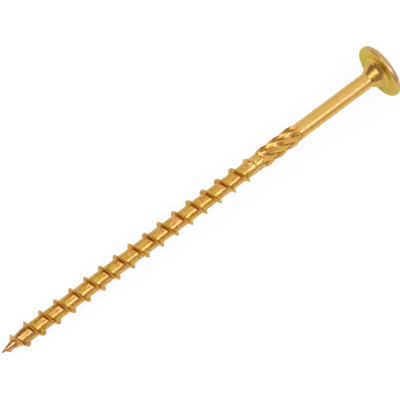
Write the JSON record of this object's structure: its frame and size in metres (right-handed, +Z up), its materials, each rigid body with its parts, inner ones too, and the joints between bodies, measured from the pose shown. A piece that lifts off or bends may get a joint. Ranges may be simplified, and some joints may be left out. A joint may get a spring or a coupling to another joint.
{
  "type": "construction screw",
  "caption": "Long steel wood screw with a washer head, star drive, flared neck, plain shank, twisted reamer and a coarse thread to a sharp tip, for fastening timber.",
  "frame": {"origin": "centre of the bounding box at ground level, with the screw lying on its head's rim and its thread", "axes": "+X along the screw from the tip towards the head, +Z up; the screw's own axis leans 2.36 degrees up from +X towards the head"},
  "size_m": [0.1634, 0.0204, 0.0204],
  "materials": {
    "yellow_zinc_steel": "yellow chromated zinc plating, glossy, with olive and orange tints"
  },
  "bodies": {
    "root": {"screw": "yellow_zinc_steel"}
  },
  "joints": []
}
